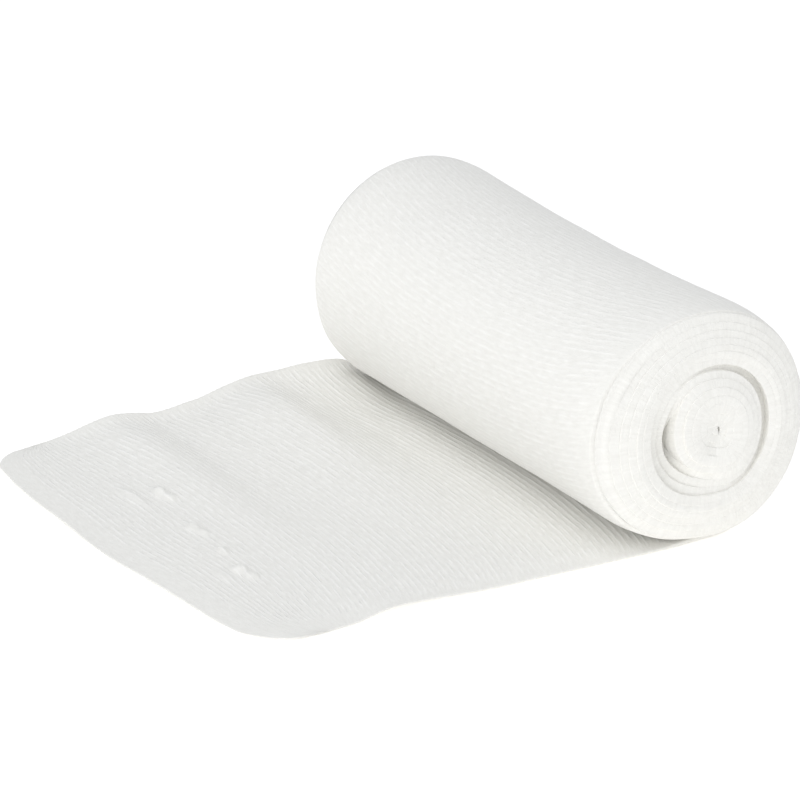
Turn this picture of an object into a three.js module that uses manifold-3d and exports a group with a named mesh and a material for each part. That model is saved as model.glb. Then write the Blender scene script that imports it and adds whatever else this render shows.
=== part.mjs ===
import * as THREE from "three";
import { mergeVertices } from "three/addons/utils/BufferGeometryUtils.js";
import Module from "manifold-3d";

// Elastic bandage roll, in millimetres, +Z up: one strip of soft stretch cloth wound on itself, with its
// loose end lying out on the surface. The roll's axis runs along Y, its near end towards -Y, and the loose
// end lies towards -X. The origin is on the surface, under the middle of the roll.

// The strip and the roll
const STRIP_WIDTH = 100;
const CLOTH_THICKNESS = 1;
const ROLL_RADIUS = 22; // at the underside, where the outermost turn runs into the loose end
const AXIS_HEIGHT = 21.3; // less than the radius, so the roll has a flat spot underneath
const WAIST = 1.6; // how much thinner the roll is at half its length, seen from above

// The soft shoulders between the roll's side and its two ends
const NEAR_SHOULDER = { inward: 3, along: 8.6 };
const FAR_SHOULDER = { inward: 5, along: 8.4 };

// The loose end
const UNDER_ROLL_X = 3; // where the loose end's solid stops, inside the roll
const FREE_CORNER = { near: 8, far: 6 };
const PRESSED = 0.2; // how far the cloth that lies flat is pressed against the surface
const TAPER = 0.7; // the share of its thickness that the loose end's solid loses where it stops

// The outermost turn's outline about the axis, from where it leaves the loose end round to where it rests on
// it: the soft roll has settled a little to both sides. Angles are in degrees from +X towards +Z.
const outline = [
  { angle: -90, radius: ROLL_RADIUS },
  { angle: -60, radius: 22.5 },
  { angle: -30, radius: 22.1 },
  { angle: 0, radius: 21.6 },
  { angle: 45, radius: 21.5 },
  { angle: 90, radius: 21.3 },
  { angle: 135, radius: 21.3 },
  { angle: 180, radius: 21.5 },
  { angle: 225, radius: 21.9 },
  { angle: 270, radius: ROLL_RADIUS - CLOTH_THICKNESS },
];

// Facets
const TURN_STEPS = 60;
const SIDE_STEPS = 8;
const SHOULDER_STEPS = 4;
const LENGTH_STEPS = 38;
const WIDTH_STEPS = 44;
const END_CROWDING = 1.3; // the steps along the loose end are closer together towards its free end
const EDGE_CROWDING = 0.92; // and those across it towards its long edges

// How far the turns stand out of the near end, from the axis to the shoulder
const nearFace = [
  { radius: 0, out: 2 },
  { radius: 3, out: 2.1 },
  { radius: 6, out: 2.1 },
  { radius: 7.5, out: 1.8 },
  { radius: 9, out: 1.2 },
  { radius: 10.5, out: 0.8 },
  { radius: 12, out: 0.8 },
  { radius: 13.5, out: 1.1 },
  { radius: 15, out: 1.3 },
  { radius: 16.6, out: 1 },
  { radius: 19, out: 0 },
];

// The open groove between the soft core and the turns around it: it follows the winding inwards, so it is
// given over more than one turn.
const groove = [
  { angle: -90, radius: 13.3, halfWidth: 0.9, depth: 0 },
  { angle: -50, radius: 13.2, halfWidth: 0.9, depth: 1.6 },
  { angle: 0, radius: 13.2, halfWidth: 0.9, depth: 2.6 },
  { angle: 60, radius: 12.6, halfWidth: 0.9, depth: 2.4 },
  { angle: 110, radius: 11.4, halfWidth: 1.2, depth: 1.2 },
  { angle: 150, radius: 9.8, halfWidth: 1.6, depth: 2.4 },
  { angle: 190, radius: 9, halfWidth: 2.1, depth: 4 },
  { angle: 230, radius: 9.4, halfWidth: 2.2, depth: 3.4 },
  { angle: 265, radius: 10.4, halfWidth: 2, depth: 1.4 },
  { angle: 300, radius: 11, halfWidth: 1.6, depth: 0 },
];

// The far end is the near one's opposite: it is sunk by a share of what stands out there, and its groove is
// a share as deep
const FAR_SHARE = { sunk: 0.7, groove: 0.6 };

// The small hollow in the middle of the core, where the winding starts
const coreHollow = { x: 1, z: -2, radius: 2, depth: 1.2 };

// On one side of the near end the outermost turns stand back from the ones inside them
const standBack = { angle: 205, spread: 60, start: 15.2, full: 20.5, depth: 2.6 };

// The two long edges of the loose end, at stations along it
const edges = [
  { x: -90, near: -49.8, far: 48.2 },
  { x: -75, near: -50.2, far: 48.6 },
  { x: -66, near: -49.1, far: 48.8 },
  { x: -56, near: -47.8, far: 48.8 },
  { x: -45, near: -48, far: 48.8 },
  { x: -20, near: -48, far: 48.8 },
  { x: 4, near: -48, far: 48.6 },
];

// The free end's slight bow, without its rounded corners
const freeEnd = [
  { y: -51, x: -85.2 },
  { y: -38, x: -86.8 },
  { y: -19, x: -87.8 },
  { y: -2, x: -89.2 },
  { y: 14, x: -88.3 },
  { y: 31, x: -87.6 },
  { y: 50, x: -84.8 },
];

// The waves of the loose end: how high it is lifted off the surface at stations along it, in columns from
// its near edge to its far edge
const liftedAt = { nearEdge: -49, near: -30, middle: 0, inner: 20, far: 36, farEdge: 49 };
const waves = [
  { x: -90, nearEdge: 0, near: 0, middle: 0, inner: 0, far: 0, farEdge: 0 },
  { x: -76, nearEdge: 0, near: 0, middle: 0, inner: 0, far: 0, farEdge: 0 },
  { x: -68, nearEdge: 0, near: 0, middle: 0.1, inner: 0.3, far: 0.7, farEdge: 1 },
  { x: -61, nearEdge: 0.4, near: 0.1, middle: 0.3, inner: 0.9, far: 1.6, farEdge: 2 },
  { x: -53, nearEdge: 0.3, near: 0.1, middle: 0.1, inner: 0.3, far: 0.7, farEdge: 1.2 },
  { x: -44, nearEdge: 0.1, near: 0, middle: 0.2, inner: 0.8, far: 1.2, farEdge: 1.7 },
  { x: -38, nearEdge: 0, near: 0, middle: 0.5, inner: 1.5, far: 2.4, farEdge: 3.1 },
  { x: -33, nearEdge: 0, near: 0, middle: 0.7, inner: 1.9, far: 3, farEdge: 4 },
  { x: -27, nearEdge: 0, near: 0, middle: 0.5, inner: 1.2, far: 1.8, farEdge: 4.2 },
  { x: -21, nearEdge: 0, near: 0, middle: 0.2, inner: 0.6, far: 1.1, farEdge: 4.5 },
  { x: -14, nearEdge: 0, near: 0, middle: 0, inner: 0.2, far: 0.4, farEdge: 4 },
  { x: -9, nearEdge: 0, near: 0, middle: 0, inner: 0, far: 0, farEdge: 1.2 },
  { x: 4, nearEdge: 0, near: 0, middle: 0, inner: 0, far: 0, farEdge: 0 },
];

// The row of four small puckers across the loose end
const puckers = [
  { x: -69.1, y: 15.3, height: 1.5, along: 1.7, across: 2.6 },
  { x: -71.6, y: -1.8, height: 1.1, along: 1.4, across: 2.3 },
  { x: -72.4, y: -12.8, height: 0.9, along: 1.3, across: 2 },
  { x: -74, y: -22.6, height: 1.3, along: 1.6, across: 2.4 },
];

const radians = THREE.MathUtils.degToRad;
const fadeIn = THREE.MathUtils.smoothstep;

// A smooth curve through one column of a table, read at one value of its key
function along(table, key, column, value) {
  const last = table.length - 1;
  const next = table.findIndex((row) => row[key] > value);
  const i = next < 0 ? last - 1 : Math.max(next - 1, 0);
  const slope = (k) => {
    const [before, after] = [table[Math.max(k - 1, 0)], table[Math.min(k + 1, last)]];
    return (after[column] - before[column]) / (after[key] - before[key]);
  };
  const span = table[i + 1][key] - table[i][key];
  const t = THREE.MathUtils.clamp((value - table[i][key]) / span, 0, 1);
  const rise = table[i + 1][column] - table[i][column];
  const [start, end] = [slope(i) * span, slope(i + 1) * span];
  return table[i][column] + t * (start + t * (3 * rise - 2 * start - end + t * (start + end - 2 * rise)));
}

// A soft hill of height 1, by the distance from its middle over its size
const hill = (distance) => Math.exp(-distance * distance);

// An angle counted on from straight down, where the cloth leaves the loose end
const counted = (angle) => THREE.MathUtils.euclideanModulo(angle + 90, 360) - 90;

// How deep the groove is at a place on an end: the spiral may pass one place twice
function grooveDepth(radius, angle) {
  const turn = counted(angle);
  return [turn, turn + 360]
    .filter((a) => a <= groove.at(-1).angle)
    .map((a) => {
      const offset = radius - along(groove, "angle", "radius", a);
      return along(groove, "angle", "depth", a) * hill(offset / along(groove, "angle", "halfWidth", a));
    })
    .reduce((sum, depth) => sum + depth, 0);
}

// How far the near end stands out at a place, apart from the shoulder
function nearRelief(radius, angle) {
  const [x, z] = [radius * Math.cos(radians(angle)), radius * Math.sin(radians(angle))];
  const toHollow = Math.hypot(x - coreHollow.x, z - coreHollow.z) / coreHollow.radius;
  const aside = Math.abs(THREE.MathUtils.euclideanModulo(angle - standBack.angle + 180, 360) - 180);
  const back = standBack.depth * hill(aside / standBack.spread);
  return (
    along(nearFace, "radius", "out", radius) -
    coreHollow.depth * hill(toHollow) -
    grooveDepth(radius, angle) -
    back * fadeIn(radius, standBack.start, standBack.full)
  );
}

// How far the far end stands out at a place, apart from the shoulder
const farRelief = (radius, angle) =>
  -FAR_SHARE.sunk * along(nearFace, "radius", "out", radius) - FAR_SHARE.groove * grooveDepth(radius, angle);

// The radius of the outermost turn: above its flat underside the roll is thinner at half its length
function outerRadius(y, angle) {
  const upward = (1 + Math.sin(radians(angle))) / 2;
  const waist = WAIST * upward * Math.cos((Math.PI * y) / STRIP_WIDTH);
  return along(outline, "angle", "radius", counted(angle)) - waist;
}

// The roll's profile from the middle of its near end to the middle of its far end, as if it were even
function rollProfile() {
  const half = STRIP_WIDTH / 2;
  const points = [];
  const shoulder = (size, end, from, to) => {
    for (let i = 1; i < SHOULDER_STEPS; i++) {
      const q = (Math.PI / 2) * THREE.MathUtils.lerp(from, to, i / SHOULDER_STEPS);
      const inward = size.inward * (1 - Math.sin(q));
      points.push(new THREE.Vector2(ROLL_RADIUS - inward, end * (half - size.along * (1 - Math.cos(q)))));
    }
  };
  for (const { radius } of nearFace) points.push(new THREE.Vector2(radius, -half));
  shoulder(NEAR_SHOULDER, -1, 0, 1);
  for (let i = 0; i <= SIDE_STEPS; i++) {
    const [start, end] = [NEAR_SHOULDER.along - half, half - FAR_SHOULDER.along];
    points.push(new THREE.Vector2(ROLL_RADIUS, THREE.MathUtils.lerp(start, end, i / SIDE_STEPS)));
  }
  shoulder(FAR_SHOULDER, 1, 1, 0);
  for (const { radius } of nearFace.toReversed()) {
    const inside = radius * ((ROLL_RADIUS - FAR_SHOULDER.inward) / nearFace.at(-1).radius);
    points.push(new THREE.Vector2(inside, half));
  }
  return points;
}

// The wound roll: the even profile turned about the axis, then made uneven point by point
function rollGeometry() {
  const geometry = new THREE.LatheGeometry(rollProfile(), TURN_STEPS);
  const half = STRIP_WIDTH / 2;
  const place = geometry.getAttribute("position");
  for (let i = 0; i < place.count; i++) {
    const [x, y, z] = [place.getX(i), place.getY(i), place.getZ(i)];
    const radius = Math.hypot(x, z);
    const angle = THREE.MathUtils.radToDeg(Math.atan2(z, x));
    const nearShare = fadeIn(-y, half - NEAR_SHOULDER.along, half);
    const farShare = fadeIn(y, half - FAR_SHOULDER.along, half);
    const out = farShare * farRelief(radius, angle) - nearShare * nearRelief(radius, angle);
    const scale = outerRadius(y, angle) / ROLL_RADIUS;
    place.setXYZ(i, x * scale, y + out, AXIS_HEIGHT + z * scale);
  }
  return geometry;
}

// How high the loose end is lifted off the surface
function lift(x, y) {
  const across = Object.entries(liftedAt).map(([name, at]) => ({ at, height: along(waves, "x", name, x) }));
  return along(across, "at", "height", y);
}

const puckerHeight = (x, y) =>
  puckers.reduce(
    (sum, p) => sum + p.height * hill((x - p.x) / p.along) * hill((y - p.y) / p.across),
    0,
  );

// Where the free end stands at one place across the strip, with its corners rounded
function freeEndX(y) {
  const half = STRIP_WIDTH / 2;
  const corner = y < 0 ? FREE_CORNER.near : FREE_CORNER.far;
  const past = THREE.MathUtils.clamp((Math.abs(y) - half + corner) / corner, 0, 1);
  return along(freeEnd, "y", "x", y) + corner * (1 - Math.sqrt(1 - past * past));
}

// The loose end: a sheet from its free end to under the roll, a box of many small steps bent to its shape
function looseEndGeometry() {
  const geometry = new THREE.BoxGeometry(1, 1, 1, LENGTH_STEPS, WIDTH_STEPS, 1);
  const place = geometry.getAttribute("position");
  for (let i = 0; i < place.count; i++) {
    const fromFreeEnd = (place.getX(i) + 0.5) ** END_CROWDING;
    const step = Math.PI * EDGE_CROWDING * place.getY(i);
    const across = Math.sin(step) / Math.sin((Math.PI * EDGE_CROWDING) / 2);
    const x = THREE.MathUtils.lerp(freeEndX((across * STRIP_WIDTH) / 2), UNDER_ROLL_X, fromFreeEnd);
    const y = Math.abs(across) * along(edges, "x", across < 0 ? "near" : "far", x);
    const underside = lift(x, y) - PRESSED;
    const thickness = CLOTH_THICKNESS * (1 - TAPER * fadeIn(x, -UNDER_ROLL_X, UNDER_ROLL_X));
    const top = underside + PRESSED + thickness + puckerHeight(x, y);
    place.setXYZ(i, x, y, place.getZ(i) < 0 ? underside : top);
  }
  return geometry;
}

const wasm = await Module();
wasm.setup();

// A closed geometry as a solid that can be joined and cut
function solidOf(geometry) {
  geometry.deleteAttribute("normal");
  geometry.deleteAttribute("uv");
  const merged = mergeVertices(geometry);
  const corners = [];
  const index = merged.getIndex().array;
  for (let i = 0; i < index.length; i += 3) {
    const [a, b, c] = index.slice(i, i + 3);
    if (a !== b && b !== c && c !== a) corners.push(a, b, c);
  }
  const vertProperties = merged.getAttribute("position").array;
  return new wasm.Manifold(new wasm.Mesh({ numProp: 3, vertProperties, triVerts: new Uint32Array(corners) }));
}

// A solid as a geometry, with flat facets
function geometryOf(solid) {
  const { vertProperties, triVerts } = solid.getMesh();
  const geometry = new THREE.BufferGeometry();
  geometry.setAttribute("position", new THREE.BufferAttribute(vertProperties, 3));
  geometry.setIndex(new THREE.BufferAttribute(triVerts, 1));
  geometry.computeVertexNormals();
  return geometry;
}

// All that lies below the surface, to be cut away
function belowSurface() {
  const depth = 10;
  return new THREE.BoxGeometry(3 * STRIP_WIDTH, 3 * STRIP_WIDTH, depth).translate(0, 0, -depth / 2);
}

const cloth = new THREE.MeshStandardMaterial({ color: 0xf2f1ea, roughness: 0.95, metalness: 0 });
const whole = solidOf(rollGeometry()).add(solidOf(looseEndGeometry())).subtract(solidOf(belowSurface()));
const bandage = new THREE.Mesh(geometryOf(whole), cloth);
bandage.name = "bandage";

const part = new THREE.Group();
part.add(bandage);

export default part;
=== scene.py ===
import math

import bmesh
import bpy
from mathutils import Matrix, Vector, noise


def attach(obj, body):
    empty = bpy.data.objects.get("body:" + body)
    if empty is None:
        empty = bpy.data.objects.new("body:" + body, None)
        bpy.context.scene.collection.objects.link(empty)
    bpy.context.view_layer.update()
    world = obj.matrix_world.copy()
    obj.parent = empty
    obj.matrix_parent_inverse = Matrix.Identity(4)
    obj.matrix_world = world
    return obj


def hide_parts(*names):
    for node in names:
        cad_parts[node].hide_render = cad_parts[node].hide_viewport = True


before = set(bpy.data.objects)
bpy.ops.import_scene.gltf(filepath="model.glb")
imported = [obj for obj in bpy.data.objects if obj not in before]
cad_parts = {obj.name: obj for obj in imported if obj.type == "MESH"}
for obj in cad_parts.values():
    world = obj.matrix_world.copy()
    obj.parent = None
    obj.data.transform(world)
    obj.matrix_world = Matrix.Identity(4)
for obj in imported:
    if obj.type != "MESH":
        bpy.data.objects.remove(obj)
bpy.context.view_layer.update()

# The bandage: one strip of soft white stretch cloth, 10 cm wide, woven with fine ribs across it and plain
# borders. It is wound on itself from its core outwards, and its loose end lies out on the surface. Nothing
# fastens it. Its sizes are in millimetres, until the finished strip is scaled to metres.
MM = 0.001
HALF_WIDTH = 50.0
RIB_PITCH = 1.17
LOOSE_THICKNESS = 0.8
# The cloth is thinner in a border along its edges: the border's width, and its share of the thickness
BORDER, BORDER_SHARE = 5.0, 0.55


def through(points, at):
    """A smooth curve through (place, value) points, level beyond its ends."""
    last = len(points) - 1
    i = 0
    while i < last - 1 and points[i + 1][0] <= at:
        i += 1
    (x0, y0), (x1, y1) = points[i], points[i + 1]
    before, after = points[max(i - 1, 0)], points[min(i + 2, last)]
    span = x1 - x0
    t = within((at - x0) / span)
    start = (y1 - before[1]) / (x1 - before[0]) * span
    end = (after[1] - y0) / (after[0] - x0) * span
    rise = y1 - y0
    return y0 + t * (start + t * (3 * rise - 2 * start - end + t * (start + end - 2 * rise)))


def within(t):
    """A number kept between 0 and 1."""
    return min(max(t, 0.0), 1.0)


def ease(t):
    """A soft step from 0 to 1, as t goes from 0 to 1."""
    t = within(t)
    return t * t * (3 - 2 * t)


def hill(distance):
    """A round hill, 1 high, that is mostly gone at twice its size."""
    return math.exp(-distance * distance)


def uneven(size, x, y, z=0.5):
    """Soft unevenness between -1 and 1, with lumps of the given size."""
    return noise.noise(Vector((x / size, y / size, z)))


# The roll's spiral. A place along the strip is u, measured from the cut end, or x, measured from under the
# roll's middle: below 0 on the loose end, and above 0 on the roll, where turns are counted inwards from 0
# too. A place across it runs from -HALF_WIDTH at its near edge to HALF_WIDTH at its far one.
TURN_PITCH = 1.17
OUTER_TURN_THICKNESS = 1.19
OUTER_RADIUS = 22.0
WINDING_RADIUS = OUTER_RADIUS - OUTER_TURN_THICKNESS / 2
LAST_TURN = 15.95
LOOSE_LENGTH = 88.2
WOUND_LENGTH = math.pi * LAST_TURN * (2 * WINDING_RADIUS - TURN_PITCH * LAST_TURN)
STRIP_LENGTH = LOOSE_LENGTH + WOUND_LENGTH


def turns_at(x):
    """How many turns in from the roll's underside a place along the strip is."""
    left_over = WINDING_RADIUS**2 - TURN_PITCH * min(x, WOUND_LENGTH) / math.pi
    return (WINDING_RADIUS - math.sqrt(max(left_over, 0.0))) / TURN_PITCH


def angle_at(turns):
    """The angle of a place on the spiral in degrees, from +X towards +Z."""
    return (360 * turns) % 360 - 90


# Where the strip's two edges stand as it winds inwards, by the count of turns: the outermost turns stand
# back on one side of the near end, and the core stands out of it
NEAR_TURNS = [
    (0, -47.4), (0.1, -47), (0.2, -47.1), (0.3, -47.9), (0.5, -48.7), (0.6, -48.3), (0.7, -47.3),
    (0.82, -46.9), (0.92, -48), (1, -49.1), (1.1, -49.5), (1.25, -49.5), (1.5, -49.5), (1.62, -49.2),
    (1.75, -48.6), (1.85, -48.8), (2, -49.7), (2.1, -50.1), (2.25, -50.1), (2.5, -50.1), (2.8, -50),
    (3.25, -50.6), (3.8, -50.3), (4.4, -50.9), (5, -51.2), (6, -51.3), (6.7, -51), (7.3, -50.9), (9, -50.9),
    (9.6, -51.2), (10.3, -51.7), (11.2, -52.2), (12.5, -52.3), (14, -52.1), (15.7, -51.7),
]
FAR_TURNS = [
    (0, 48.2), (0.12, 47), (0.3, 46), (0.9, 46), (1.2, 47.2), (1.9, 47.6), (2.3, 48.4), (3.2, 49), (5, 49.1),
    (7, 48.9), (9, 48.7), (11, 48.3), (14, 48.1), (15.7, 48.3),
]


def edge_at(turns, side):
    """Where the near edge (side below 0) or the far edge stands along the axis."""
    return through(NEAR_TURNS if side < 0 else FAR_TURNS, turns)


def past_cover(turns, y):
    """How far a place on a turn stands out past the edge of the turn over it."""
    # The outermost turn has none over it, and counts as lying well inside one
    if turns <= 1:
        return -9.0
    cover = edge_at(turns - 1, y)
    return cover - y if y < 0 else y - cover


# The roll's outline by angle, how much thinner it is at half its length, and the soft shoulders at its near
# and its far end: where they start, how wide and how deep they are. They come in over an eighth of a turn,
# and fade over the outer turns.
OUTLINE = [
    (-135, 22.7), (-90, 22), (-60, 22.5), (-30, 22.2), (0, 21.8), (45, 21.9), (90, 21.9), (135, 22.1),
    (180, 22.3), (225, 22.7), (270, 22), (300, 22.5),
]
WAIST = 1.6
NEAR_SHOULDER, FAR_SHOULDER = (41.5, 8.5, 1.3), (41.2, 8.4, 1.9)
DEEPEST_SHOULDER = 2.4
OUTER_TURNS = 6
EIGHTH_TURN = 0.125
# The inner turns are settled a little to one side, and fully so once they are smaller by SETTLED_SIZE.
# Where a turn stands out it swells, as nothing presses it, and the inner ones do so less.
SETTLED, SETTLED_SIZE = 0.8, 0.45
SWELL, SWELL_WIDTH, SWELL_TURNS = 0.95, 2.2, 2.5
# Beside the core there are two loose places where the cloth is puffed up, by angle: the last turn before
# LOOSE_TURN_END on the right, and three turns from PUFFED_TURN on at the left
LOOSE_TURN_END = 8.8
LOOSE_TURN = [(-90, 0), (-55, 0), (-20, 0.6), (5, 0.8), (40, 0.6), (75, 0.3), (105, 0), (270, 0)]
PUFFED_TURN, PUFFED_TURNS = 7.3, 3.0
PUFFED = [
    (-120, 1.6), (-90, 1.2), (-70, 0.6), (-50, 0), (110, 0), (128, 0.4), (150, 1.1), (180, 1.5), (210, 1.7),
    (240, 1.6), (270, 1.2), (290, 0.6),
]


def shoulder(y):
    """How far the outer turns fall away towards the roll's ends."""
    start, width, depth = NEAR_SHOULDER if y < 0 else FAR_SHOULDER
    return min(depth * max((abs(y) - start) / width, 0.0) ** 2, DEEPEST_SHOULDER)


def outer_radius(turns, angle, y):
    """How far from the axis a turn's outer face is: the even spiral, with its loose and swollen places."""
    size = 1 - TURN_PITCH * turns / OUTER_RADIUS
    slant = math.radians(angle)
    radius = through(OUTLINE, angle) * size + SETTLED * math.cos(slant) * ease((1 - size) / SETTLED_SIZE)
    if turns > LOOSE_TURN_END:
        radius -= through(LOOSE_TURN, angle)
    radius -= through(PUFFED, angle) * within((turns - PUFFED_TURN) / PUFFED_TURNS)
    radius -= WAIST * (1 + math.sin(slant)) / 2 * math.cos(math.pi * y / (2 * HALF_WIDTH)) * size
    radius -= shoulder(y) * math.exp(-turns / OUTER_TURNS) * ease(turns / EIGHTH_TURN)
    if turns > 1:
        swollen = ease((past_cover(turns, y) + SWELL_WIDTH) / SWELL_WIDTH) * ease((turns - 1) / EIGHTH_TURN)
        radius += SWELL * math.exp((1 - turns) / SWELL_TURNS) * swollen
    return radius


# From CORE_TURN on, the core's turns shrink together towards its own middle
CORE_TURN, CORE_TURNS, CORE_MIDDLE = 10.4, 5.8, Vector((1.8, 0.0, 0.2))
CORE_THICKNESS = 1.55
# Pressed turns overlap a little, and more within EDGE_REACH of the strip's edges, so that no gap is left
# between them at the roll's ends. The strip is thinner at its inner end.
LEAST_THICKNESS, OVERLAP = 0.5, 0.04
EDGE_OVERLAP, EDGE_REACH, EDGE_FADE = 0.3, 3.0, 2.5
THIN_END, THIN_END_LENGTH = 0.25, 9.0
# Where the loose end goes over into the roll, and over how much of the strip
WINDING_START, WINDING_RUN = -2.0, 20.0


def thickness(x, across):
    """How thick the cloth is: thin in the loose end, and on the roll filling the space between its turns."""
    from_edge = min(HALF_WIDTH - abs(across), x + LOOSE_LENGTH)
    loose = LOOSE_THICKNESS * (BORDER_SHARE + (1 - BORDER_SHARE) * ease(from_edge / BORDER))
    if x < WINDING_START:
        return loose
    turns = turns_at(x)
    wound = CORE_THICKNESS * within(turns + 1 - CORE_TURN)
    if turns < CORE_TURN:
        angle = angle_at(turns)
        y = abs(across) / HALF_WIDTH * edge_at(turns, across)
        wound += outer_radius(turns, angle, y) - outer_radius(min(turns + 1, CORE_TURN), angle, y)
    wound = max(wound, LEAST_THICKNESS) + OVERLAP
    wound += EDGE_OVERLAP * ease((EDGE_REACH - from_edge) / EDGE_FADE)
    wound -= THIN_END * ease((x - WOUND_LENGTH + THIN_END_LENGTH) / THIN_END_LENGTH)
    return loose + (wound - loose) * ease((x - WINDING_START) / WINDING_RUN)


# The loose end's cut edge, as x at places across the strip, and its rounded corners
FREE_END = [(-51, -85.2), (-38, -86.8), (-19, -87.8), (-2, -89.2), (14, -88.5), (31, -88.1), (50, -86)]
NEAR_CORNER, FAR_CORNER = 8.0, 6.0
# Its long edges, as y at places along it, and how far the far one turns up within a strip of TURN_UP_WIDTH
NEAR_EDGE = [
    (-90, -49.8), (-75, -50.2), (-66, -49.3), (-56, -48.2), (-45, -48.2), (-20, -48.3), (-9, -48.3),
    (-4, -48), (0, -47.4), (4, -47.4),
]
FAR_EDGE = [(-90, 46.2), (-75, 48), (-66, 48.3), (-56, 48.5), (-45, 48.7), (-20, 48.8), (4, 48.2)]
TURNED_UP = [(-90, 0.1), (-80, 0.2), (-70, 0.7), (-60, 1.1), (-30, 1.1), (-14, 0.9), (-7, 0.2), (0, 0)]
TURN_UP_WIDTH = 4.5
# How far its ribs bow back towards the cut end at the strip's edges, and how much more at the near one
BOW, NEAR_BOW = 5.0, 1.5
# Its waves: how high it is lifted at stations along it, each at six places across
WAVE_PLACES = (-49, -30, 0, 20, 36, 49)
WAVES = [
    (-90, (0, 0, 0, 0, 0, 0)),
    (-76, (0, 0, 0, 0, 0, 0)),
    (-68, (0, 0, 0.1, 0.3, 0.6, 0.4)),
    (-61, (0.4, 0.1, 0.5, 1.3, 2.0, 1.2)),
    (-53, (0.3, 0.1, 0, 0, 0.1, 0.3)),
    (-44, (0.1, 0, 0.3, 0.8, 1.2, 0.8)),
    (-38, (0, 0, 0.9, 2.2, 3.1, 2.2)),
    (-33, (0, 0, 1.0, 2.7, 3.7, 3.1)),
    (-27, (0, 0, 0.4, 1.0, 1.4, 3.3)),
    (-21, (0, 0, 0, 0, 0.3, 3.6)),
    (-14, (0, 0, 0, 0.2, 0.4, 3.2)),
    (-9, (0, 0, 0, 0, 0, 1)),
    (4, (0, 0, 0, 0, 0, 0)),
]
WAVE_LINES = [[(place, heights[c]) for place, heights in WAVES] for c in range(len(WAVE_PLACES))]
# Wherever it is lifted, its upper face is raised this much more, on its thin borders as well
RAISED = 0.2
# The row of small puckers across it and the low folds beside them: x, y, height, size along, size across
PUCKERS = [
    (-69, 15.6, 1.2, 1, 1.5),
    (-68.4, 12.7, 0.8, 0.9, 1.2),
    (-73.6, 16.5, 0.7, 1, 4.5),
    (-71.4, -0.9, 0.9, 0.9, 1.4),
    (-70.8, -3.5, 0.65, 0.7, 1),
    (-72.2, -12.5, 0.8, 0.8, 1.1),
    (-73.6, -21.5, 1.15, 1, 1.5),
    (-73, -24.4, 0.8, 0.8, 1.1),
    (-77, -22.5, 0.35, 1, 3),
]


def strip_x(u, across):
    """The place along the strip of a thread that is u from the cut end, with the threads' bow and wander."""
    corner = NEAR_CORNER if across < 0 else FAR_CORNER
    past = within((abs(across) - HALF_WIDTH + corner) / corner)
    rounded = corner * (1 - math.sqrt(1 - past * past)) * (1 - ease(u / (3.4 * corner)))
    end = through(FREE_END, across)
    share = across / HALF_WIDTH
    bow = -BOW * share**2 - (NEAR_BOW * share**4 if across < 0 else 0.0)
    wander = 0.2 * uneven(11, u, across, 3.1) + 0.06 * uneven(2.5, u, across, 8.2)
    levelled = (-LOOSE_LENGTH - end) * ease(u / 40)
    # The inner end is cut straight
    straightened = ease((STRIP_LENGTH - 10 - u) / 70)
    return end + u + rounded + levelled + (bow + wander) * ease(u / 22) * straightened


def loose_place(x, across):
    """A place in the middle of the cloth's thickness, on the loose end."""
    y = abs(across) / HALF_WIDTH * through(NEAR_EDGE if across < 0 else FAR_EDGE, x)
    heights = [(place, through(line, x)) for place, line in zip(WAVE_PLACES, WAVE_LINES)]
    lift = max(through(heights, y), 0.0)
    full = thickness(x, across)
    z = full / 2 + lift + (RAISED + LOOSE_THICKNESS - full) * ease(lift / 0.6)
    z += through(TURNED_UP, x) * max((across - HALF_WIDTH + TURN_UP_WIDTH) / TURN_UP_WIDTH, 0.0) ** 2
    for pucker_x, pucker_y, height, along, aside in PUCKERS:
        z += height * hill((x - pucker_x) / along) * hill((y - pucker_y) / aside)
    return Vector((x, y, z))


# The turns that lie back at the near end and leave an open groove round the core: depth, first and last
# turn, over how many turns it starts, angle, and how far to both sides of it. At the far end these turns
# stand out, by FAR_STANDS_OUT of that.
LAID_BACK = [
    (1.3, 7.35, 10.3, 0.3, 205, 52),
    (0.8, 8.4, 10.3, 0.4, 205, 52),
    (2.6, 9.4, 10.3, 0.2, 195, 40),
    (1.9, 7.8, 8.75, 0.15, 20, 66),
    (0.5, 10.4, 11.3, 0.1, 205, 70),
]
FAR_STANDS_OUT = 0.35
# The dimples in the core's near end: depth, x and z from the axis, size along x, size along z
DIMPLES = [(0.4, 1, -2, 2.6, 2.6), (0.35, 0.5, -3.2, 1.4, 1.96)]
# How high the lumps of the outermost turn are, how long along the axis, and how many there are to a radius
LUMP_HEIGHT, LUMP_LENGTH, LUMPS_ROUND = 0.12, 11, 2.2
AXIS_HEIGHT = 21.3
# Underneath the turns are pressed flat on each other, with a soft bend, but a turn that stands out droops
DROOP = 0.95
SOFT_BEND = 0.15


def laid_back(turns, angle):
    """How far a turn lies back at the near end."""
    back = 0.0
    for depth, first, last, start, middle, spread in LAID_BACK:
        aside = abs((angle - middle + 180) % 360 - 180)
        back += depth * ease((turns - first) / start) * ease((last - turns) / 0.1) * hill(aside / spread)
    return back


def dimple(x, z):
    """How deep the core's near end is dimpled."""
    return sum(
        depth * hill((x - at_x) / wide) * hill((z - at_z) / high)
        for depth, at_x, at_z, wide, high in DIMPLES
    )


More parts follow.
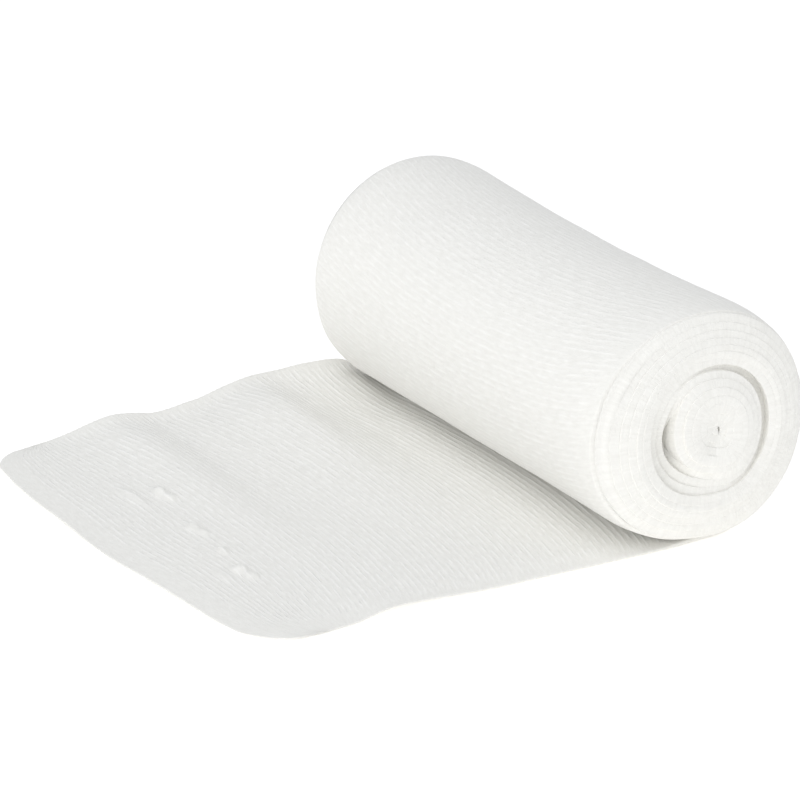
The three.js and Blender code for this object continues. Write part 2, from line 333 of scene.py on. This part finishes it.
def wound_place(x, across):
    """A place in the middle of the cloth's thickness, on the roll."""
    turns = turns_at(x)
    angle = angle_at(turns)
    direction = Vector((math.cos(math.radians(angle)), 0.0, math.sin(math.radians(angle))))
    # Along the axis: the strip's edges wander, and stand out or lie back
    edge = edge_at(turns, across) + laid_back(turns, angle) * (1 if across < 0 else -FAR_STANDS_OUT)
    edge += (0.1 * uneven(6, x, across) + 0.06 * uneven(1.7, x, across, 7.7)) * ease(turns)
    y = abs(across) / HALF_WIDTH * edge
    # Away from the axis, and in the core towards its own middle
    radius = outer_radius(min(turns, CORE_TURN), angle, y) - thickness(x, across) / 2
    if turns < 1.2:
        lumps = Vector((direction.x * LUMPS_ROUND, y / LUMP_LENGTH, direction.z * LUMPS_ROUND))
        radius += LUMP_HEIGHT * noise.noise(lumps)
    shrunk = 1 - max(turns - CORE_TURN, 0.0) / CORE_TURNS
    place = CORE_MIDDLE + shrunk * (radius * direction - CORE_MIDDLE)
    if turns > CORE_TURN and across < 0:
        y += dimple(place.x, place.z) * ease((-y - 40) / 10)
    place += Vector((0.0, y, AXIS_HEIGHT))
    lowest = TURN_PITCH * turns * (1 - DROOP * ease((past_cover(turns, y) + 0.5) / 1.5))
    pressed = lowest + thickness(x, across) / 2 - place.z
    place.z += (pressed + math.sqrt(pressed**2 + SOFT_BEND**2)) / 2 * math.exp(-turns / OUTER_TURNS)
    return place


def cloth_place(u, across):
    """A place in the middle of the cloth's thickness, with the ribs' tiny end loops along the far edge."""
    x = strip_x(u, across)
    place = loose_place(x, across) if x < 0 else wound_place(x, across)
    loops = 0.07 * math.cos(2 * math.pi * u / RIB_PITCH) * hill((HALF_WIDTH - across) / 0.8)
    place.y += loops * ease(u / 8) * (1 - ease((x + 12) / 10))
    return place


# The ribs: how high they are, how much each one varies along itself and from place to place, and how much of
# them is left on the roll, where the cloth is pulled tight. The cloth is plain along its cut end and edges.
RIB_HEIGHT, RIB_BREAKS, RIB_SPREAD = 0.03, 0.036, 0.014
RIBS_ON_ROLL = 0.5
PLAIN_END, PLAIN_NEAR_EDGE, PLAIN_FAR_EDGE = 3.2, 2.2, 0.4


def ribbed(u, across):
    """How strongly ribbed the cloth is, from 0 to 1."""
    near_corner = hill((across + HALF_WIDTH) / 15) * hill(u / 18)
    far_corner = hill((across - HALF_WIDTH) / 7) * hill(u / 9)
    plain_end = PLAIN_END + 3 * near_corner + 3 * far_corner
    plain_near_edge = PLAIN_NEAR_EDGE + 5 * near_corner
    plain_far_edge = PLAIN_FAR_EDGE + 2 * far_corner
    strength = ease((u - plain_end) / 1.5) * ease((HALF_WIDTH + across - plain_near_edge) / 2)
    strength *= 1 - (1 - RIBS_ON_ROLL) * ease((u - LOOSE_LENGTH + 6) / 24)
    return strength * ease(HALF_WIDTH - across - plain_far_edge)


def rib(u, across, side):
    """The relief of the ribs on one face of the cloth."""
    row = round(u / RIB_PITCH)
    height = RIB_HEIGHT + RIB_BREAKS * uneven(1, row * 1.7, across / 3.6, 0.7 + side)
    height += RIB_SPREAD * uneven(9, u, across, 4.4)
    return ribbed(u, across) * height * math.cos(2 * math.pi * u / RIB_PITCH)


# The strip's edges are round within ROUND_REACH, and squarer within SQUARE_REACH where they are pressed
# together in the roll. There an edge also runs on into the edges of the turns beside it, up to RUN_ON.
ROUND_REACH, SQUARE_REACH = 0.25, 0.12
RUN_ON = 0.7
# The cloth's slope is measured over this distance
SMALL_STEP = 0.2


def face_place(u, across, side):
    """A place on the upper (1) or lower (-1) face of the strip: the lower one is outside on the roll."""
    place = cloth_place(u, across)
    along_step = SMALL_STEP if u < STRIP_LENGTH - 1 else -SMALL_STEP
    across_step = SMALL_STEP if across < 0 else -SMALL_STEP
    along = (cloth_place(u + along_step, across) - place) / along_step
    aside = (cloth_place(u, across + across_step) - place) / across_step
    normal = along.cross(aside).normalized()
    x = u - LOOSE_LENGTH
    reach, squareness = ROUND_REACH, 2
    if x > INNER_START or side > 0:
        reach -= (ROUND_REACH - SQUARE_REACH) * ease(x / WINDING_RUN)
        squareness += 2 * ease(x / WINDING_RUN)
    from_edge = HALF_WIDTH - abs(across)
    inset = min(from_edge / reach, 1.0)
    from_cut = min((u + 0.05) / ROUND_REACH, 1.0)
    half = thickness(x, across) / 2 * (1 - (1 - inset) ** squareness) ** (1 / squareness)
    half *= math.sqrt(1 - (1 - from_cut) ** 2)
    # Only the faces that show have ribs
    if x < 4 or (side < 0 and x < INNER_START):
        half += rib(u, across, side) * inset
    turns = turns_at(x)
    if turns + side > 0:
        step = (edge_at(turns + side, across) - edge_at(turns, across)) / 2
        step = min(max(step, -RUN_ON), RUN_ON) * ease((turns + side) * 6) * ease(x / 60)
        place.y += step * hill(from_edge / 0.5)
    return place + normal * side * half


def stations(step, crowded):
    """Places across one face of the strip, from edge to edge but without the two edges themselves."""
    inner = HALF_WIDTH - crowded[-1]
    count = round(2 * inner / step)
    middle = [-inner + 2 * inner * i / count for i in range(1, count)]
    return [d - HALF_WIDTH for d in crowded] + middle + [HALF_WIDTH - d for d in reversed(crowded)]


def add_length(bm, rows, upper, lower):
    """A length of the strip as one closed band: up its near edge, across, and back underneath."""
    ring = [(-HALF_WIDTH, 0)] + [(a, 1) for a in upper] + [(HALF_WIDTH, 0)]
    ring += [(a, -1) for a in reversed(lower)] + [(-HALF_WIDTH, 0)]
    across_steps, row_steps = len(ring) - 1, len(rows) - 1
    made = bmesh.ops.create_grid(bm, x_segments=row_steps, y_segments=across_steps, size=0.5)["verts"]
    for vert in made:
        row = rows[round((vert.co.x + 0.5) * row_steps)]
        across, side = ring[round((vert.co.y + 0.5) * across_steps)]
        vert[u_layer], vert[across_layer], vert[side_layer] = row, across, side
        vert[ribbed_layer] = ribbed(row, across)
        vert.co = face_place(row, across, side)
    bmesh.ops.remove_doubles(bm, verts=made, dist=1e-5)


def rim(bm, row, side):
    """The open edges of one face of the strip at an end of a length."""
    return [
        edge for edge in bm.edges
        if edge.is_boundary
        and all(abs(v[u_layer] - row) < 1e-3 and v[side_layer] * side > -0.5 for v in edge.verts)
    ]


def join_lengths(bm, before, after):
    """Two lengths joined at their end rows, first their upper faces and then their lower ones."""
    upper = rim(bm, before, 1) + rim(bm, after, 1)
    lower = rim(bm, before, -1) + rim(bm, after, -1)
    bmesh.ops.bridge_loops(bm, edges=upper)
    bmesh.ops.bridge_loops(bm, edges=lower)


bm = bmesh.new()
u_layer = bm.verts.layers.float.new("along_strip")
across_layer = bm.verts.layers.float.new("across_strip")
side_layer = bm.verts.layers.float.new("side_of_strip")
ribbed_layer = bm.verts.layers.float.new("ribbed")

# Places across the strip, few on a face that is hidden, and more where the puckers are
fine = stations(1.9, [0.06, 0.2, 0.6, 1.6])
coarse = stations(11, [0.06, 0.25, 1.6])
turned = stations(42, [0.012, 0.035, 0.1, 0.6, 2.5, 7])
PUCKER_STEP = 0.7
PUCKER_PLACES = [(-26.3, 11), (-14.5, 7), (-5.3, 9), (11.2, 10)]
at_puckers = [start + PUCKER_STEP * i for start, count in PUCKER_PLACES for i in range(count)]
puckered = sorted([a for a in fine if all(abs(a - b) > 0.6 for b in at_puckers)] + at_puckers)
# Rows along it: four to a rib on the loose end and the outermost turn, then fewer, and closer in the core
ROW_STEP = RIB_PITCH / 4
LOOSE_STEPS, TURN_STEPS = 323, 456
loose_rows = [0.0, 0.1] + [ROW_STEP * i for i in range(1, LOOSE_STEPS + 1)]
turn_rows = [loose_rows[-1] + ROW_STEP * i for i in range(1, TURN_STEPS + 1)]
INNER_START = turn_rows[-1] + 0.1 - LOOSE_LENGTH
inner_rows = [turn_rows[-1] + 0.6]
while inner_rows[-1] < STRIP_LENGTH - 0.4:
    turns = turns_at(inner_rows[-1] - LOOSE_LENGTH)
    radius = WINDING_RADIUS - TURN_PITCH * turns
    in_core = 0.1 + 0.25 * (CORE_TURN + CORE_TURNS - turns)
    inner_rows.append(inner_rows[-1] + min(0.34 * math.sqrt(radius), in_core))
inner_rows[-1] = STRIP_LENGTH

add_length(bm, loose_rows, puckered, coarse)
add_length(bm, turn_rows, coarse, fine)
add_length(bm, inner_rows, turned, turned)
join_lengths(bm, loose_rows[-1], turn_rows[0])
join_lengths(bm, turn_rows[-1], inner_rows[0])
ends = bmesh.ops.holes_fill(bm, edges=[e for e in bm.edges if e.is_boundary], sides=0)["faces"]
bmesh.ops.triangulate(bm, faces=ends)
bmesh.ops.recalc_face_normals(bm, faces=bm.faces)
bmesh.ops.scale(bm, verts=bm.verts, vec=(MM, MM, MM))

# The cloth's own map: along the strip and across it, in parts of its length
uv = bm.loops.layers.uv.new("strip")
for face in bm.faces:
    face.smooth = True
    for loop in face.loops:
        loop[uv].uv = (loop.vert[u_layer] / STRIP_LENGTH, 0.5 + loop.vert[across_layer] / STRIP_LENGTH)
mesh = bpy.data.meshes.new("bandage_cloth")
bm.to_mesh(mesh)
bm.free()
bandage = bpy.data.objects.new("bandage_cloth", mesh)
bpy.context.collection.objects.link(bandage)

# White brushed cotton and elastic: matt, soft and slightly warm, with thin broken ribs and a nap
cloth = bpy.data.materials.new("white_crepe_cloth")
cloth.use_nodes = True
nodes, links = cloth.node_tree.nodes, cloth.node_tree.links
shader = nodes["Principled BSDF"]
shader.inputs["Roughness"].default_value = 0.95
shader.inputs["Specular IOR Level"].default_value = 0.2
shader.inputs["Sheen Weight"].default_value = 0.25
shader.inputs["Sheen Roughness"].default_value = 0.5
strip_map = nodes.new("ShaderNodeUVMap")
strip_map.uv_map = "strip"
ribbed_places = nodes.new("ShaderNodeAttribute")
ribbed_places.attribute_name = "ribbed"
object_places = nodes.new("ShaderNodeTexCoord")


def sized(source, scale):
    """Coordinates multiplied by a scale."""
    sizing = nodes.new("ShaderNodeMapping")
    sizing.inputs["Scale"].default_value = scale
    links.new(source, sizing.inputs["Vector"])
    return sizing.outputs["Vector"]


def grain(vector, detail):
    """Noise with grains about as large as one step of the coordinates."""
    noise_node = nodes.new("ShaderNodeTexNoise")
    noise_node.inputs["Scale"].default_value = 1.0
    noise_node.inputs["Detail"].default_value = detail
    links.new(vector, noise_node.inputs["Vector"])
    return noise_node.outputs["Fac"]


def strip_grain(along, across, detail):
    """Noise that follows the strip, with grains of the given size in millimetres."""
    scale = (STRIP_LENGTH / along, STRIP_LENGTH / across, 1)
    return grain(sized(strip_map.outputs["UV"], scale), detail)


def combined(operation, first, second):
    """Two values put together, the second of which may be a number."""
    node = nodes.new("ShaderNodeMath")
    node.operation = operation
    links.new(first, node.inputs[0])
    if isinstance(second, float):
        node.inputs[1].default_value = second
    else:
        links.new(second, node.inputs[1])
    return node.outputs["Value"]


def spread_out(value, low, high, least):
    """A value from low to high stretched to the range from least to 1."""
    ranged = nodes.new("ShaderNodeMapRange")
    ranged.inputs["From Min"].default_value = low
    ranged.inputs["From Max"].default_value = high
    ranged.inputs["To Min"].default_value = least
    links.new(value, ranged.inputs["Value"])
    return ranged.outputs["Result"]


def bumped(height, depth, under=None):
    """A bump of the given depth in millimetres, over the one before it."""
    bump = nodes.new("ShaderNodeBump")
    bump.inputs["Distance"].default_value = depth * MM
    links.new(height, bump.inputs["Height"])
    if under:
        links.new(under, bump.inputs["Normal"])
    return bump.outputs["Normal"]


# A thin thread on the crest of each rib, broken along the rib. The wave texture repeats every pi / 10.
wave = nodes.new("ShaderNodeTexWave")
wave.inputs["Scale"].default_value = 1.0
wave.inputs["Phase Offset"].default_value = math.pi
wave_scale = (STRIP_LENGTH / RIB_PITCH * math.pi / 10, 0, 0)
links.new(sized(strip_map.outputs["UV"], wave_scale), wave.inputs["Vector"])
broken = spread_out(strip_grain(along=0.9, across=3.5, detail=1.0), low=0.4, high=0.58, least=0.1)
crests = combined("MULTIPLY", combined("POWER", wave.outputs["Fac"], 3.0), broken)
crests = combined("MULTIPLY", crests, ribbed_places.outputs["Fac"])
# Three bumps over each other: the threads, the stitches between them, and the nap of the whole cloth
NAP_GRAIN = 0.5
threads = bumped(crests, depth=0.085)
stitches = bumped(strip_grain(along=0.35, across=1.5, detail=1.0), depth=0.08, under=threads)
nap_places = sized(object_places.outputs["Object"], (1 / MM / NAP_GRAIN,) * 3)
nap = bumped(grain(nap_places, detail=2.0), depth=0.09, under=stitches)
links.new(nap, shader.inputs["Normal"])
# The ground is mottled, a tone that varies at random, and the rib crests are painted whiter than the hollows
# between them: painted shade between the ribs
mottle_and_painted_rib_shade = nodes.new("ShaderNodeValToRGB")
mottle_and_painted_rib_shade.color_ramp.elements[0].position = 0.25
mottle_and_painted_rib_shade.color_ramp.elements[0].color = (0.89, 0.879, 0.838, 1)
mottle_and_painted_rib_shade.color_ramp.elements[1].position = 0.75
mottle_and_painted_rib_shade.color_ramp.elements[1].color = (0.99, 0.982, 0.947, 1)
mottled = combined("MULTIPLY", strip_grain(along=0.6, across=2.4, detail=3.0), 0.7)
# Painted shade: the rib crests lighten the colour, and the hollows between the ribs stay darker
painted_rib_shade = combined("MULTIPLY", crests, 0.55)
links.new(combined("ADD", mottled, painted_rib_shade), mottle_and_painted_rib_shade.inputs["Fac"])
links.new(mottle_and_painted_rib_shade.outputs["Color"], shader.inputs["Base Color"])
mesh.materials.append(cloth)

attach(bandage, "root")
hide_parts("bandage")

# The floor: a wide sheet of plain white paper that lies a hair below the cloth. It glows a little, so that
# it stays white to its edges.
FLOOR_SIZE = 3.0
FLOOR_GAP = 0.2 * MM
bm = bmesh.new()
bmesh.ops.create_grid(bm, x_segments=1, y_segments=1, size=FLOOR_SIZE / 2)
bmesh.ops.translate(bm, verts=bm.verts, vec=(0, 0, -FLOOR_GAP))
mesh = bpy.data.meshes.new("floor")
bm.to_mesh(mesh)
bm.free()
floor = bpy.data.objects.new("floor", mesh)
bpy.context.collection.objects.link(floor)
paper = bpy.data.materials.new("white_paper")
paper.use_nodes = True
shader = paper.node_tree.nodes["Principled BSDF"]
shader.inputs["Base Color"].default_value = (0.95, 0.945, 0.935, 1)
shader.inputs["Emission Color"].default_value = (1, 0.985, 0.96, 1)
shader.inputs["Emission Strength"].default_value = 0.35
shader.inputs["Roughness"].default_value = 1.0
shader.inputs["Specular IOR Level"].default_value = 0.0
mesh.materials.append(paper)

# The light: a white studio all round, with three soft square lamps that face the roll. One stands low at the
# left, one hangs above, and a weak one stands high at the right.
world = bpy.data.worlds.new("studio")
bpy.context.scene.world = world
world.use_nodes = True
world.node_tree.nodes["Background"].inputs["Color"].default_value = (0.945, 0.965, 1, 1)
world.node_tree.nodes["Background"].inputs["Strength"].default_value = 0.6
bpy.context.scene.view_settings.view_transform = "Standard"
LIT_PLACE = Vector((0, 0, 0.02))


def add_lamp(name, place, size, power):
    """A soft square lamp that faces the roll."""
    lamp = bpy.data.objects.new(name, bpy.data.lights.new(name, "AREA"))
    lamp.data.size = size
    lamp.data.energy = power
    lamp.location = place
    lamp.rotation_euler = (LIT_PLACE - lamp.location).to_track_quat("-Z", "Y").to_euler()
    bpy.context.collection.objects.link(lamp)


add_lamp("left_lamp", Vector((-1.15, -0.75, 0.5)), size=0.8, power=4.2)
add_lamp("right_lamp", Vector((1.0, -0.5, 0.9)), size=0.8, power=1.2)
add_lamp("upper_lamp", Vector((-0.55, -0.2, 1.3)), size=1.0, power=4.5)

# The camera: a long lens a metre away, beyond the near end and to the left of it, that looks down a little.
# It aims beside the part's middle, so that the part fills the picture as in the photograph.
AZIMUTH, ELEVATION = math.radians(-31), math.radians(20.5)
CAMERA_DISTANCE, LENS, FILM_WIDTH = 1.0, 259.65, 36
AIM_LEFT, AIM_LOW = 8.63 * MM, 5.68 * MM
part_middle = Vector((-20, 0, 20)) * MM
right = Vector((math.cos(AZIMUTH), math.sin(AZIMUTH), 0))
towards_camera = Vector((
    math.sin(AZIMUTH) * math.cos(ELEVATION), -math.cos(AZIMUTH) * math.cos(ELEVATION), math.sin(ELEVATION),
))
aim = part_middle - right * AIM_LEFT - towards_camera.cross(right) * AIM_LOW
camera = bpy.data.objects.new("camera", bpy.data.cameras.new("camera"))
camera.data.lens = LENS
camera.data.sensor_width = FILM_WIDTH
camera.location = part_middle + towards_camera * CAMERA_DISTANCE
camera.rotation_euler = (aim - camera.location).to_track_quat("-Z", "Y").to_euler()
bpy.context.collection.objects.link(camera)
bpy.context.scene.camera = camera
